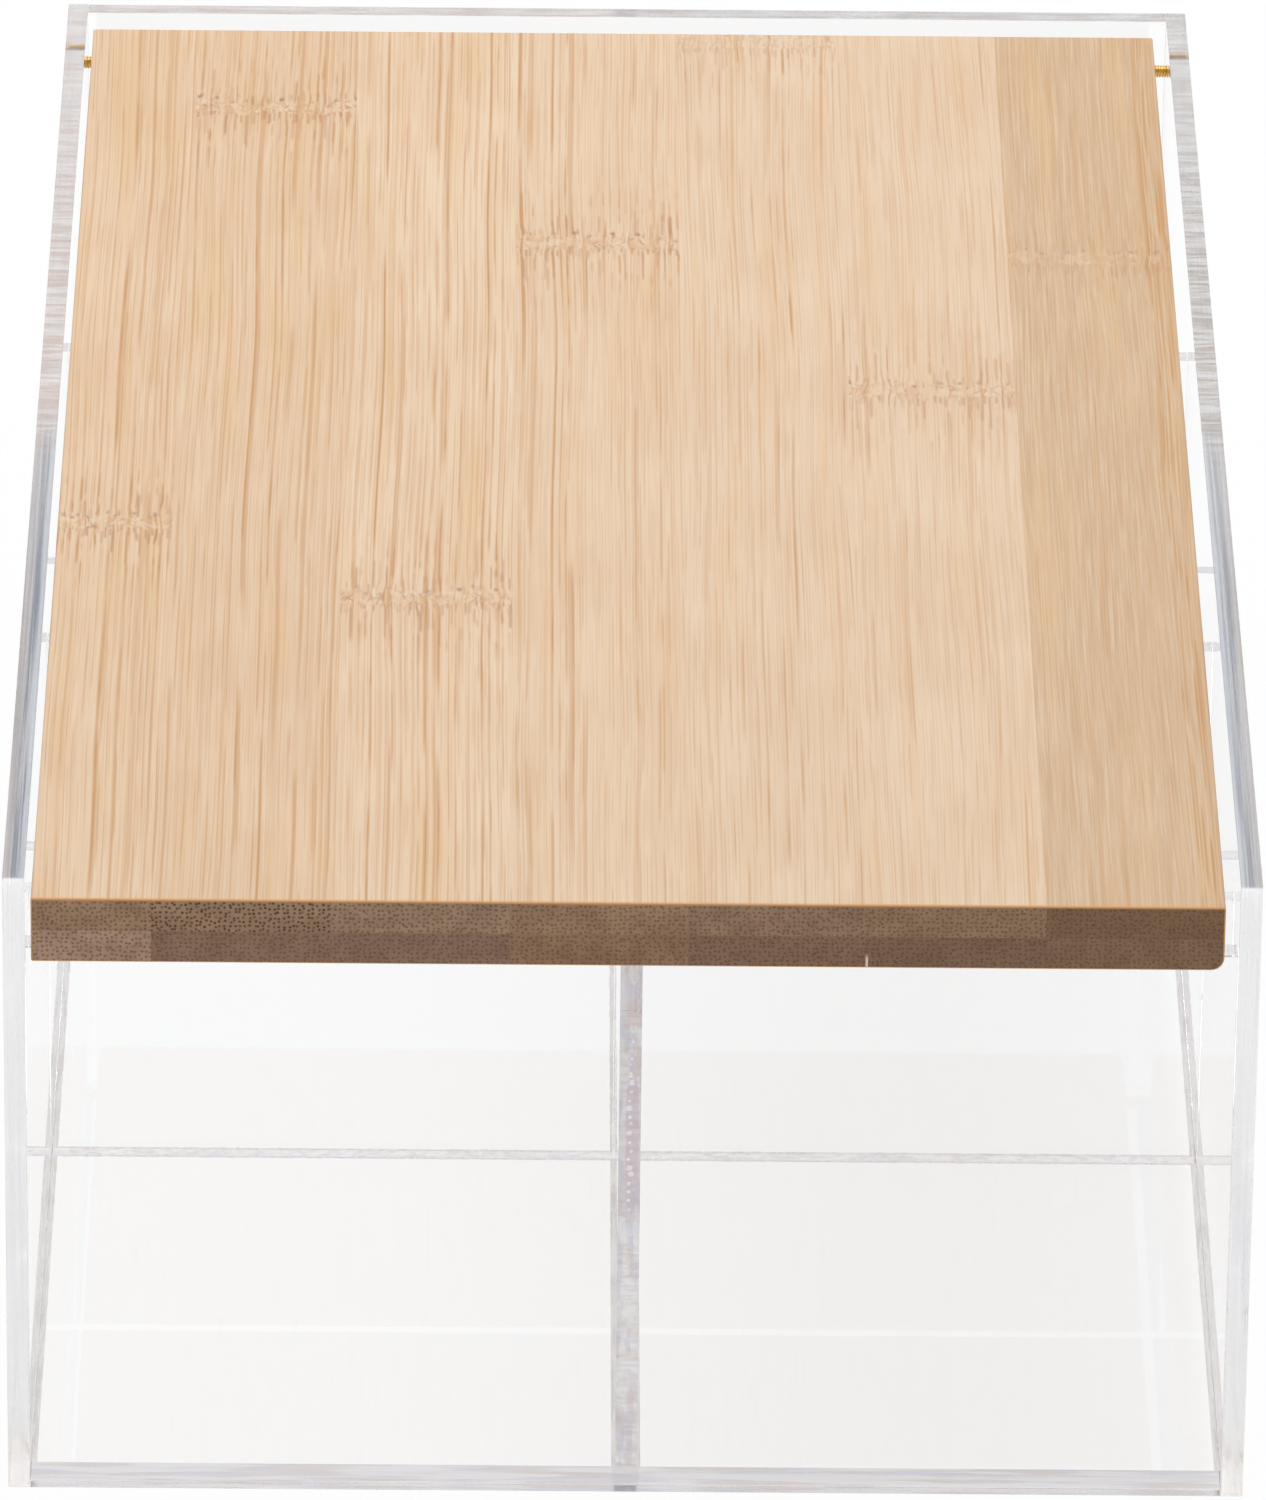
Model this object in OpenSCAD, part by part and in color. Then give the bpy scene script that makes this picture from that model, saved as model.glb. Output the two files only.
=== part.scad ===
// Clear sheet box with six pockets and a hinged lid of two layers of bamboo strips.
// Millimetres. +X right, +Y back, +Z up.
// Origin: middle of the underside, halfway between the lid's front edge and the back panel.

/* [Case] */
// Outside width of the case
case_w = 170; // [150:1:200]
// Outside depth of the case, front to back
case_d = 286; // [270:1:320]
// Height of the side panels and the back panel
case_h = 95; // [85:1:120]
// Thickness of the base, front, back and side panels
panel_t = 3; // [2:0.5:5]

/* [Pockets] */
// Thickness of the three dividers
divider_t = 3; // [2:0.5:4]
// Depth of the two front pockets
front_pocket_d = 88; // [70:0.5:100]
// Depth of the two middle pockets
middle_pocket_d = 91.5; // [70:0.5:95]
// Clearance on each side of a divider in the slot that crosses it
lap_play = 0.1; // [0.05:0.05:0.3]

/* [Lid] */
// Thickness of the lid
lid_t = 9.5; // [8:0.5:14]
// Thickness of the lid's upper layer of strips
upper_layer_t = 4.75; // [3:0.25:6]
// How far the lid lies below the rim of the case
lid_drop = 0.5; // [0:0.1:2]
// How far the lid reaches past the front panel
lid_overhang = 5.6; // [0:0.2:15]
// Gap between the lid and the back panel
back_gap = 4.9; // [4.5:0.1:8]
// Gap between the lid and the left side panel
left_gap = 1; // [0.5:0.1:3]
// Gap between the lid and the right side panel
right_gap = 2.2; // [0.5:0.1:3]
// Width of the left-hand strip of each layer; the others share the rest
edge_strip_w = 16.2; // [10:0.1:30]
// Height of the gap between the lid and the panels and dividers under it
lid_clearance = 0.5; // [0.3:0.1:2]
// Radius along the lower right edge of the lid
lower_edge_r = 1.8; // [0.5:0.1:3]

/* [Lid rests] */
// Width of a lid rest, from the side panel inwards
rest_w = 6; // [4:0.5:12]
// Thickness of a lid rest, front to back
rest_t = 3; // [2:0.5:5]
// Height of a lid rest
rest_h = 8; // [5:0.5:15]
// Distance from the front panel back to a lid rest
rest_setback = 12; // [5:0.5:40]
// Gap between a lid rest and the closed lid
rest_gap = 0.3; // [0.1:0.1:0.5]

/* [Hinge] */
// Diameter of a hinge screw
screw_d = 2; // [1.6:0.1:3]
// Length of a hinge screw
screw_l = 14; // [10:1:24]
// How deep the outer end of a hinge screw lies in its side panel
screw_recess = 0.3; // [0.1:0.1:1]
// Radial clearance of a hinge screw in its side panel
screw_play = 0.05; // [0.02:0.01:0.1]
// Radial clearance of a hinge screw in the lid
thread_play = 0.02; // [0.01:0.01:0.05]
// Depth of the hinge axis below the lid's top face
axis_below_top = 3.5; // [3:0.1:4.5]
// Distance from the hinge axis to the lid's back edge
axis_from_back = 4.6; // [3:0.1:6]
// Width of the driver slot in the outer end of a hinge screw
driver_slot_w = 0.4; // [0.3:0.1:0.6]
// Depth of the driver slot in the outer end of a hinge screw
driver_slot_depth = 0.6; // [0.4:0.1:1]

/* [Hidden] */
STRIP_COUNT = 7;

$fn = 48;
// How far a cutting solid reaches past the face that it cuts
cut = 1;

// Case: the outer faces and the faces of the room inside
side_x = case_w / 2;
inner_x = side_x - panel_t;
front_y = -(case_d - lid_overhang) / 2;
back_y = front_y + case_d;
inner_front_y = front_y + panel_t;
inner_back_y = back_y - panel_t;

// Lid
lid_top_z = case_h - lid_drop;
lid_under_z = lid_top_z - lid_t;
layer_z = lid_top_z - upper_layer_t;
lid_left_x = -inner_x + left_gap;
lid_right_x = inner_x - right_gap;
lid_front_y = front_y - lid_overhang;
lid_back_y = inner_back_y - back_gap;
strip_w = (lid_right_x - lid_left_x - edge_strip_w) / (STRIP_COUNT - 1);

// Hinge: the axis, and how far the lid's lower back corner swings round it
axis_y = lid_back_y - axis_from_back;
axis_z = lid_top_z - axis_below_top;
screw_r = screw_d / 2;
screw_outer_x = side_x - screw_recess;
swing_r = norm([axis_from_back, lid_t - axis_below_top]);

// Dividers: they stand on the base and end below the lid
under_lid_z = lid_under_z - lid_clearance;
divider_h = under_lid_z - panel_t;
lap_z = panel_t + divider_h / 2;
front_cross_y = inner_front_y + front_pocket_d;
rear_cross_y = front_cross_y + divider_t + middle_pocket_d;
relief_y = axis_y - swing_r - lid_clearance;
relief_z = axis_z - swing_r - lid_clearance;

clear_sheet = [0.93, 0.96, 0.97, 0.35];
pale_bamboo = [0.86, 0.70, 0.47];
dark_bamboo = [0.78, 0.61, 0.40];
brass = [0.80, 0.62, 0.30];

// A box from its lowest corner to its highest corner.
module block(low, high) {
    translate(low)
        cube(high - low);
}

// A round bar about the hinge axis between two places across the case.
module bar(from_x, to_x, r) {
    translate([from_x, axis_y, axis_z])
        rotate([0, 90, 0])
            cylinder(h = to_x - from_x, r = r);
}

module base_panel() {
    color(clear_sheet)
        block([-inner_x, inner_front_y, 0], [inner_x, inner_back_y, panel_t]);
}

// The front panel ends under the lid, which reaches out over it.
module front_panel() {
    color(clear_sheet)
        block([-inner_x, front_y, 0], [inner_x, inner_front_y, under_lid_z]);
}

module back_panel() {
    color(clear_sheet)
        block([-inner_x, inner_back_y, 0], [inner_x, back_y, case_h]);
}

// A side panel with its hinge hole, made for the right side.
module side_panel() {
    difference() {
        block([inner_x, front_y, 0], [side_x, back_y, case_h]);
        bar(inner_x - cut, side_x + cut, screw_r + screw_play);
    }
}

module left_side_panel() {
    color(clear_sheet)
        mirror([1, 0, 0])
            side_panel();
}

module right_side_panel() {
    color(clear_sheet)
        side_panel();
}

// Slotted from above for the cross dividers, and cut lower at the back,
// where the lid's lower edge swings down as it opens.
module centre_divider() {
    half_t = divider_t / 2;
    color(clear_sheet)
        difference() {
            block([-half_t, inner_front_y, panel_t], [half_t, inner_back_y, under_lid_z]);
            for (y = [front_cross_y, rear_cross_y])
                block([-half_t - cut, y - lap_play, lap_z],
                      [half_t + cut, y + divider_t + lap_play, under_lid_z + cut]);
            block([-half_t - cut, relief_y, relief_z],
                  [half_t + cut, inner_back_y + cut, under_lid_z + cut]);
        }
}

// Slotted from below, so that it drops over the centre divider; y is its front face.
module cross_divider(y) {
    slot_x = divider_t / 2 + lap_play;
    color(clear_sheet)
        difference() {
            block([-inner_x, y, panel_t], [inner_x, y + divider_t, under_lid_z]);
            block([-slot_x, y - cut, panel_t - cut], [slot_x, y + divider_t + cut, lap_z]);
        }
}

// A small block inside the side panel, which holds the closed lid up; made for the right side.
module lid_rest() {
    y = inner_front_y + rest_setback;
    top_z = lid_under_z - rest_gap;
    color(clear_sheet)
        block([inner_x - rest_w, y, top_z - rest_h], [inner_x, y + rest_t, top_z]);
}

module left_lid_rest() {
    mirror([1, 0, 0])
        lid_rest();
}

module right_lid_rest() {
    lid_rest();
}

// A headless screw through the side panel into the lid; made for the right side.
module hinge_screw() {
    color(brass)
        difference() {
            bar(screw_outer_x - screw_l, screw_outer_x, screw_r);
            block([screw_outer_x - driver_slot_depth, axis_y - screw_d, axis_z - driver_slot_w / 2],
                  [screw_outer_x + cut, axis_y + screw_d, axis_z + driver_slot_w / 2]);
        }
}

module left_hinge_screw() {
    mirror([1, 0, 0])
        hinge_screw();
}

module right_hinge_screw() {
    hinge_screw();
}

// The left-hand side of a strip, counted from 1 at the left.
function strip_x(i) = i == 1 ? lid_left_x : lid_left_x + edge_strip_w + (i - 2) * strip_w;

// One strip of the lid between two heights, bored for the hinge screws.
module strip(i, low_z, high_z) {
    difference() {
        block([strip_x(i), lid_front_y, low_z], [strip_x(i + 1), lid_back_y, high_z]);
        bar(-screw_outer_x, -screw_outer_x + screw_l, screw_r + thread_play);
        bar(screw_outer_x - screw_l, screw_outer_x, screw_r + thread_play);
    }
}

module upper_strip(i) {
    color(pale_bamboo)
        strip(i, layer_z, lid_top_z);
}

// What rounding takes off the lower right edge of the lid.
module edge_waste() {
    translate([lid_right_x - lower_edge_r, lid_front_y - cut, lid_under_z + lower_edge_r])
        difference() {
            block([0, 0, -lower_edge_r - cut],
                  [lower_edge_r + cut, lid_back_y - lid_front_y + 2 * cut, 0]);
            rotate([-90, 0, 0])
                cylinder(h = lid_back_y - lid_front_y + 2 * cut, r = lower_edge_r);
        }
}

module lower_strip(i) {
    color(dark_bamboo)
        if (i == STRIP_COUNT)
            difference() {
                strip(i, lid_under_z, layer_z);
                edge_waste();
            }
        else
            strip(i, lid_under_z, layer_z);
}

base_panel();
front_panel();
back_panel();
left_side_panel();
right_side_panel();
centre_divider();
cross_divider(front_cross_y);  // front_cross_divider
cross_divider(rear_cross_y);  // rear_cross_divider
left_lid_rest();
right_lid_rest();
left_hinge_screw();
right_hinge_screw();
for (i = [1 : STRIP_COUNT]) {
    upper_strip(i);
    lower_strip(i);
}
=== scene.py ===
import logging
import math
from dataclasses import dataclass, field
from enum import Enum

import bmesh
import bpy
import numpy as np
from mathutils import Matrix, Vector
from mathutils.geometry import tessellate_polygon


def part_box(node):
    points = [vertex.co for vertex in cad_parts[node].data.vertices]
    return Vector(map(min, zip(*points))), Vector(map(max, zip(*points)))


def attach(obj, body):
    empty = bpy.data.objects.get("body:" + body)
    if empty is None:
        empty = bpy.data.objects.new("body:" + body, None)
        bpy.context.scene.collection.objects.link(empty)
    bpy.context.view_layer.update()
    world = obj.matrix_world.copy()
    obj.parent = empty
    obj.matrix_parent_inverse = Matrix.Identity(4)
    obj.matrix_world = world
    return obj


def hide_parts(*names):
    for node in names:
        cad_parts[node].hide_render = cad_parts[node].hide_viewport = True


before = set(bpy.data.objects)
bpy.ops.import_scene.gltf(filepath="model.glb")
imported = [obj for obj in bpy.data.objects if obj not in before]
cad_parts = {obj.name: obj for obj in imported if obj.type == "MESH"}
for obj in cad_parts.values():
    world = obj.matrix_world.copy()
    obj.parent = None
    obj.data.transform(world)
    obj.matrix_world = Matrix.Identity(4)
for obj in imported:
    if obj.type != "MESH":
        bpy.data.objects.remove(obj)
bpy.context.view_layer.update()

# A clear sheet box for tea bags with a hinged bamboo lid. Metres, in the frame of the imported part:
# +X right, +Y back, +Z up, the origin in the middle of the underside. Finishes work in millimetres.

LOG = logging.getLogger("tea_box")

MM = 0.001
STRIP_COUNT = 7
# The image that the camera's focal length is worked out for, in pixels.
IMAGE_W, IMAGE_H = 1266, 1500
# Points nearer than this are one point, and coordinates are rounded to this many decimals.
MERGE_REACH, DECIMALS = 1e-7, 7
HOLE_POINTS = 48
WHITE = (1.0, 1.0, 1.0, 1.0)


class Plane(Enum):
    """Which axes an outline lies along, and which one its thickness runs along."""

    SIDE = (1, 2, 0)
    FRONT = (0, 2, 1)
    FLAT = (0, 1, 2)


class Side(Enum):
    """A side of the box, as the sign of X there."""

    LEFT = -1
    RIGHT = 1


# ---------------------------------------------------------------- shader nodes


def linear(red: int, green: int, blue: int) -> tuple[float, float, float, float]:
    """A display colour as a scene colour.

    Args:
        red: Red, 0 to 255.
        green: Green, 0 to 255.
        blue: Blue, 0 to 255.

    Returns:
        The scene-linear colour with an alpha of 1.
    """
    def one(value: int) -> float:
        """Undo the display curve for one channel."""
        part = value / 255
        return part / 12.92 if part <= 0.04045 else ((part + 0.055) / 1.055) ** 2.4

    return one(red), one(green), one(blue), 1.0


class Signal:
    """A value in a node tree. The signs of arithmetic add the node that works out the result."""

    def __init__(self, tree: "Tree", socket: bpy.types.NodeSocket) -> None:
        """Hold the socket that gives the value, and its tree."""
        self.tree, self.socket = tree, socket

    def __add__(self, other: object) -> "Signal":
        """The sum."""
        return self.tree.math("ADD", self, other)

    def __sub__(self, other: object) -> "Signal":
        """The difference."""
        return self.tree.math("SUBTRACT", self, other)

    def __rsub__(self, other: float) -> "Signal":
        """A number less this value."""
        return self.tree.math("SUBTRACT", other, self)

    def __mul__(self, other: object) -> "Signal":
        """The product."""
        return self.tree.math("MULTIPLY", self, other)

    def __truediv__(self, other: object) -> "Signal":
        """The quotient."""
        return self.tree.math("DIVIDE", self, other)

    def __pow__(self, power: float) -> "Signal":
        """This value to a power."""
        return self.tree.math("POWER", self, power)

    def __abs__(self) -> "Signal":
        """The value without its sign."""
        return self.tree.math("ABSOLUTE", self)

    def fit(self, scale: object, shift: object) -> "Signal":
        """This value times a scale plus a shift."""
        return self.tree.math("MULTIPLY_ADD", self, scale, shift)

    def most(self, other: object) -> "Signal":
        """The larger of two values."""
        return self.tree.math("MAXIMUM", self, other)

    def ramp(self, low: object, high: object, to_low: object = 0.0, to_high: object = 1.0) -> "Signal":
        """A smooth step of this value.

        Args:
            low: The value that it starts at.
            high: The value that it ends at.
            to_low: The result up to low.
            to_high: The result from high on.

        Returns:
            The result.
        """
        inputs = dict(enumerate((self, low, high, to_low, to_high)))
        return self.tree.add("ShaderNodeMapRange", inputs, interpolation_type="SMOOTHSTEP")


class Tree:
    """The node tree of a material or a world, with short calls for the nodes used here."""

    def __init__(self, owner: bpy.types.Material | bpy.types.World) -> None:
        """Empty the owner's tree."""
        owner.use_nodes = True
        self.owner = owner
        self.nodes, self.links = owner.node_tree.nodes, owner.node_tree.links
        self.nodes.clear()

    def feed(self, socket: bpy.types.NodeSocket, value: object) -> None:
        """Link a socket to a signal, or set its value.

        Args:
            socket: The input.
            value: A signal, a number or a colour; a colour of three numbers is a display colour.
        """
        if isinstance(value, Signal):
            self.links.new(value.socket, socket)
        elif socket.type == "RGBA" and len(value) == 3:
            socket.default_value = linear(*value)
        else:
            socket.default_value = value

    def add(self, kind: str, inputs: dict, output: int | str = 0, **settings: object) -> Signal:
        """Add a node.

        Args:
            kind: Blender's name of the node.
            inputs: What each input gets, by its name or number.
            output: The output to give back, by its name or number.
            settings: The node's properties.

        Returns:
            The output.
        """
        made = self.nodes.new(kind)
        for key, value in settings.items():
            setattr(made, key, value)
        for key, value in inputs.items():
            self.feed(made.inputs[key], value)
        return Signal(self, made.outputs[output])

    def split(self, kind: str, value: Signal) -> tuple[Signal, ...]:
        """All outputs of a node that takes one value apart."""
        made = self.nodes.new(kind)
        self.feed(made.inputs[0], value)
        return tuple(Signal(self, output) for output in made.outputs)

    def math(self, operation: str, *values: object, clamp: bool = False) -> Signal:
        """A Math node on values, its result held to 0..1 where clamp is set."""
        return self.add("ShaderNodeMath", dict(enumerate(values)), operation=operation, use_clamp=clamp)

    def join(self, x: object, y: object, z: object = 0.0) -> Signal:
        """A vector of three numbers."""
        return self.add("ShaderNodeCombineXYZ", {0: x, 1: y, 2: z})

    def noise(self, place: object, detail: float = 2.0, rough: float = 0.5, scale: float = 1.0,
              output: str = "Fac") -> Signal:
        """Smooth noise from 0 to 1, mean one half.

        Args:
            place: A vector, or its two or three parts.
            detail: How many finer layers it has.
            rough: Weight of each finer layer against the one before.
            scale: How many times finer than the place's own unit it is.
            output: "Fac" for a number, "Color" for three.

        Returns:
            The noise.
        """
        vector = self.join(*place) if isinstance(place, tuple) else place
        return self.add("ShaderNodeTexNoise", {"Vector": vector, "Scale": scale, "Detail": detail,
                                               "Roughness": rough}, output, noise_dimensions="3D")

    def noises(self, place: object, detail: float) -> tuple[Signal, ...]:
        """Three unlike smooth noises from 0 to 1, out of one node."""
        return self.split("ShaderNodeSeparateColor", self.noise(place, detail, output="Color"))

    def white(self, value: object) -> Signal:
        """A random number from 0 to 1 for each whole value."""
        return self.add("ShaderNodeTexWhiteNoise", {"W": value}, "Value", noise_dimensions="1D")

    def layers(self, tone: object, *coats: tuple) -> Signal:
        """A colour with coats over it, each a share and the tone that it mixes in by that share."""
        for share, coat in coats:
            tone = self.add("ShaderNodeMix", {0: share, 6: tone, 7: coat}, 2, data_type="RGBA")
        return tone

    def object_mm(self) -> tuple[Signal, ...]:
        """The object's own coordinates in millimetres."""
        place = self.add("ShaderNodeTexCoord", {}, "Object")
        scaled = self.add("ShaderNodeVectorMath", {0: place, "Scale": 1 / MM}, operation="SCALE")
        return self.split("ShaderNodeSeparateXYZ", scaled)

    def rays(self, *names: str) -> tuple[Signal, ...]:
        """One for each named kind of ray where the ray is of that kind, else zero."""
        outputs = self.nodes.new("ShaderNodeLightPath").outputs
        return tuple(Signal(self, outputs[name]) for name in names)

    def bump(self, height: Signal, distance: float, strength: float = 1.0) -> Signal:
        """A normal bent by a height from 0 to 1 that stands for a distance in metres."""
        return self.add("ShaderNodeBump", {"Strength": strength, "Distance": distance,
                                           "Height": height})

    def mix(self, share: Signal, first: Signal, second: Signal) -> Signal:
        """A mix of two shaders by a share."""
        return self.add("ShaderNodeMixShader", {0: share, 1: first, 2: second})

    def surface(self, shader: Signal) -> None:
        """Finish the tree with its surface shader."""
        kind = "World" if isinstance(self.owner, bpy.types.World) else "Material"
        self.feed(self.nodes.new(f"ShaderNodeOutput{kind}").inputs["Surface"], shader)


# ---------------------------------------------------------------- finishes


@dataclass(frozen=True)
class Finish:
    """What a surface is made of and how it is worked."""

    name: str

    def shader(self, tree: Tree) -> Signal:
        """The shader of the finish."""
        raise NotImplementedError

    def material(self) -> bpy.types.Material:
        """Make the material of the finish."""
        tree = Tree(bpy.data.materials.new(self.name))
        tree.surface(self.shader(tree))
        return tree.owner


@dataclass(frozen=True)
class ClearSheet(Finish):
    """The polished faces of clear cast sheet. Lamps and soft light pass straight through it."""

    name: str = "clear_sheet"
    tint: tuple = (0.992, 0.994, 0.996, 1.0)
    index: float = 1.49
    roughness: float = 0.0
    haze: float = 0.03
    relief: float = 0.0000008

    def glass(self, tree: Tree, tone: object, patches: Signal, height: Signal,
              clear: float = 1.0) -> Signal:
        """A glass-like shader.

        Args:
            tree: The material's tree.
            tone: Its colour.
            patches: Its roughness.
            height: The height, 0 to 1, of its fine relief.
            clear: The share of light that goes in.

        Returns:
            The shader.
        """
        return tree.add("ShaderNodeBsdfPrincipled", {
            "Base Color": tone, "IOR": self.index, "Transmission Weight": clear,
            "Roughness": patches, "Normal": tree.bump(height, self.relief)})

    def hazed(self, tree: Tree) -> Signal:
        """The finish as the eye meets it: faint long scratches and a breath of haze.

        Args:
            tree: The material's tree.

        Returns:
            The shader.
        """
        x, y, z = tree.object_mm()
        scratches = tree.noise((x * 0.9, y * 0.04, z * 0.9), 3.0, 0.6)
        patches = scratches.ramp(0.66, 0.8, self.roughness, self.haze)
        return self.glass(tree, self.tint, patches, scratches)

    def shader(self, tree: Tree) -> Signal:
        """The hazed shader, left out for the rays of lamps and of soft light.

        Args:
            tree: The material's tree.

        Returns:
            The shader.
        """
        shown = self.hazed(tree)
        open_way = tree.add("ShaderNodeBsdfTransparent", {"Color": self.tint})
        for ray in tree.rays("Is Shadow Ray", "Is Diffuse Ray"):
            shown = tree.mix(ray, shown, open_way)
        return shown


@dataclass(frozen=True)
class CutEdge(ClearSheet):
    """The cut edges of clear sheet: flame polished, with fine streaks along the cut.

    The long upper edges of the side sheets carry painted shade and reflection, grey-blue and darkest
    along the middle of their front halves. Their rear halves carry a paler, warmer painted reflection,
    with fine saw marks across. A fade is where along Y the painted shade starts and ends, in
    millimetres, and the shares there.
    """

    name: str = "cut_edge"
    tint: tuple = (0.985, 0.988, 0.992, 1.0)
    roughness: float = 0.05
    haze: float = 0.2
    relief: float = 0.00001
    streak_tone: tuple = (232, 234, 238)
    outer_tone: tuple = (146, 138, 138)
    core_tone: tuple = (86, 92, 107)
    inner_tone: tuple = (160, 168, 182)
    rear_left_tone: tuple = (195, 169, 158)
    rear_right_tone: tuple = (160, 148, 139)
    front_fade: tuple = (-60.0, -15.0, 1.0, 0.88)
    rear_fade: tuple = (40.0, 120.0, 0.85, 0.58)
    rear_start: tuple = (-14.0, 8.0)
    right_share: float = 0.92
    top_z: float = 95 * MM
    inner_x: float = 82 * MM
    sheet: float = 3 * MM

    def painted_edge_shade(self, tree: Tree, streaks: Signal) -> tuple[Signal, Signal]:
        """How much painted shade and reflection the upper edges carry, and in which tone.

        Args:
            tree: The material's tree.
            streaks: Streak noise, 0 to 1, along the cut.

        Returns:
            The share of painted shade and reflection, and its colour.
        """
        x, y, z = tree.object_mm()
        top, sheet = self.top_z / MM, self.sheet / MM
        # Painted shade and reflection: grey-blue over the front halves, warmer over the rear halves.
        ahead = y.ramp(*self.front_fade) * x.ramp(0.0, 1.0, 1.0, self.right_share)
        ahead = ahead * streaks.ramp(0.3, 0.6, 0.78, 1.0)
        saw = tree.noise((x * 0.1, y * 0.9), 2.0, 0.6)
        behind = y.ramp(*self.rear_fade) * saw.ramp(0.32, 0.68, 0.5, 1.3)
        rear = y.ramp(*self.rear_start)
        amount = rear.fit(behind - ahead, ahead) * z.ramp(top - 0.6, top - 0.1)
        out = abs(x) - self.inner_x / MM
        wander = tree.noise((0.0, y * 0.03)).fit(0.9, -0.45)
        core = abs(out - sheet * 0.45 + wander).ramp(0.35, 1.0, 1.0, 0.0)
        core = core * streaks.ramp(0.35, 0.6, 0.4, 1.0)
        tone = tree.layers(self.inner_tone, (out.ramp(0.3 * sheet, 0.6 * sheet), self.outer_tone),
                           (core, self.core_tone))
        warm = tree.layers(self.rear_left_tone, (x.ramp(0.0, 1.0), self.rear_right_tone))
        return amount, tree.layers(tone, (rear, warm))

    def hazed(self, tree: Tree) -> Signal:
        """The finish as the eye meets it, streaked along the cut by the piece's UV map.

        Args:
            tree: The material's tree.

        Returns:
            The shader.
        """
        place = tree.add("ShaderNodeUVMap", {}, uv_map="cut")
        along, across, _ = tree.split("ShaderNodeSeparateXYZ", place)
        along, across = along * (1 / MM), across * (1 / MM)
        streaks = tree.noise((along * 0.02, across * 2.2), 4.0, 0.6)
        patches = tree.noise((along * 0.08, across * 0.5))
        # The tone takes in the upper edges' painted shade and reflection.
        tone = tree.layers(self.tint, (streaks.ramp(0.45, 0.7, 0.0, 0.8), self.streak_tone),
                           self.painted_edge_shade(tree, streaks))
        return self.glass(tree, tone, patches.ramp(0.4, 0.8, self.roughness, self.haze), streaks)


@dataclass(frozen=True)
class PaintedShadowBand(ClearSheet):
    """Painted shade: a narrow grey band beside a glued joint, standing for the joint's shadow on the
    table.
    """

    name: str = "solvent_run"
    # The grey tint and the darker patches are painted shade for the joint's shadow on the table.
    tint: tuple = (0.60, 0.58, 0.57, 1.0)
    deep_shade_tone: tuple = (168, 159, 156)
    roughness: float = 0.12
    haze: float = 0.3
    relief: float = 0.00002

    def hazed(self, tree: Tree) -> Signal:
        """The finish as the eye meets it: frosted and grey with painted shade, darker in places along
        the joint.

        Args:
            tree: The material's tree.

        Returns:
            The shader.
        """
        x, y, z = tree.object_mm()
        cloud = tree.noise((x * 1.5, y * 0.12, z), 3.0, 0.6)
        tone = tree.layers(self.tint, (cloud.ramp(0.35, 0.7), self.deep_shade_tone))
        return self.glass(tree, tone, cloud.ramp(0.3, 0.7, self.roughness, self.haze), cloud)


@dataclass(frozen=True)
class DrilledWall(ClearSheet):
    """The wall of a drilled hole: frosted, so what is in it shows pale, tinted warm by a painted
    caustic glow.
    """

    name: str = "drilled_wall"
    # The warm pale tint is a painted caustic glow over the frosted wall.
    tint: tuple = (1.0, 0.95, 0.88, 1.0)
    roughness: float = 0.4
    haze: float = 0.6
    relief: float = 0.00002
    see_through: float = 0.7

    def hazed(self, tree: Tree) -> Signal:
        """The finish as the eye meets it: half clear and rough, with fine turned lines along the hole.

        Args:
            tree: The material's tree.

        Returns:
            The shader.
        """
        x, y, z = tree.object_mm()
        rings = tree.noise((x * 6.0, y * 0.3, z * 0.3), 2.0, 0.6)
        return self.glass(tree, self.tint, rings.ramp(0.3, 0.7, self.roughness, self.haze), rings,
                          self.see_through)


@dataclass(frozen=True)
class Underside(Finish):
    """The underside of the base, in touch with the table: light goes straight on past faint scuffs."""

    name: str = "underside"
    scuff_tone: tuple = (253, 253, 253)

    def shader(self, tree: Tree) -> Signal:
        """A see-through shader; scuffs are the crests of noise drawn out along the base.

        Args:
            tree: The material's tree.

        Returns:
            The shader.
        """
        x, y, _ = tree.object_mm()
        scuffs = tree.noise((x * 0.7, y * 0.1), 4.0, 0.7)
        tone = tree.layers(WHITE, (scuffs.ramp(0.56, 0.72), self.scuff_tone))
        return tree.add("ShaderNodeBsdfTransparent", {"Color": tone})


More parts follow.
